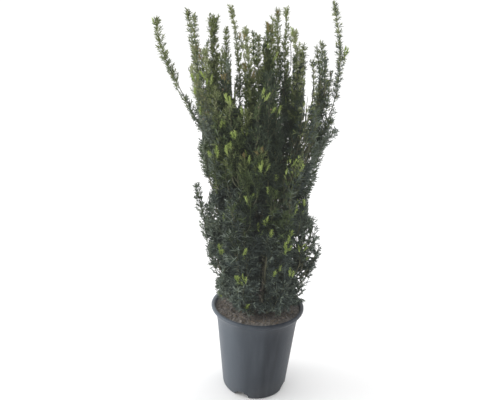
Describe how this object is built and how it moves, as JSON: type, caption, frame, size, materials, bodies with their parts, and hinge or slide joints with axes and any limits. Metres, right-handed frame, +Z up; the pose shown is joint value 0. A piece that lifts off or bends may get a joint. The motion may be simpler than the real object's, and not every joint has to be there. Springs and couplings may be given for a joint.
{
  "type": "potted english yew",
  "caption": "Young upright yew with slim leaders and dense needled masses, growing in a round plastic nursery pot filled with compost.",
  "frame": {"origin": "centre of the pot's flat underside, on the ground", "axes": "+Z up the plant; -Y towards the plant's front, +X to the right when it is seen from the front"},
  "size_m": [0.4909, 0.3316, 1.114],
  "materials": {
    "pot": "blue-grey moulded polypropylene, faintly scuffed",
    "compost": "loose brown bark and peat, dry on top",
    "bark": "thin flaking olive-brown bark",
    "shoot_foliage": "olive-green needles on upright young shoots",
    "crown_foliage": "dark green mature needles",
    "skirt_foliage": "dark bluish green needles on low side sprays"
  },
  "bodies": {
    "root": {"pot": "pot", "compost": "compost", "trunk": "bark", "bough_left_leader": "bark", "bough_right_leader": "bark", "bough_back_leader": "bark", "bough_front_leader": "bark", "bough_low_left": "bark", "bough_low_right": "bark", "bough_low_back": "bark", "bough_low_front": "bark", "bough_back_left": "bark", "bough_back_right": "bark", "shoot_far_left": "shoot_foliage", "shoot_left_tall": "shoot_foliage", "shoot_left_twin": "shoot_foliage", "shoot_left_outer": "shoot_foliage", "shoot_left_square": "shoot_foliage", "shoot_left_short": "shoot_foliage", "shoot_left_inner": "shoot_foliage", "shoot_gap_slim": "shoot_foliage", "shoot_centre_front": "shoot_foliage", "shoot_centre_back": "shoot_foliage", "shoot_centre_full": "shoot_foliage", "shoot_centre_tall": "shoot_foliage", "shoot_centre_peak": "shoot_foliage", "shoot_right_front": "shoot_foliage", "shoot_right_slim": "shoot_foliage", "shoot_gap_short": "shoot_foliage", "shoot_right_full": "shoot_foliage", "shoot_far_right": "shoot_foliage", "shoot_back_left": "shoot_foliage", "shoot_back_middle": "shoot_foliage", "shoot_back_right": "shoot_foliage", "spray_low_left": "shoot_foliage", "crown_heart": "crown_foliage", "crown_left": "crown_foliage", "crown_front_left": "crown_foliage", "crown_front": "crown_foliage", "crown_right": "crown_foliage", "crown_front_right": "crown_foliage", "crown_back_right": "crown_foliage", "crown_back": "crown_foliage", "crown_back_left": "crown_foliage", "middle_left": "crown_foliage", "middle_front_left": "crown_foliage", "middle_front_right": "crown_foliage", "middle_right": "crown_foliage", "middle_back_right": "crown_foliage", "middle_back_left": "crown_foliage", "skirt_left": "skirt_foliage", "skirt_front_left": "skirt_foliage", "skirt_front_right": "skirt_foliage", "skirt_right": "skirt_foliage", "skirt_back_right": "skirt_foliage", "skirt_back_left": "skirt_foliage"}
  },
  "joints": []
}
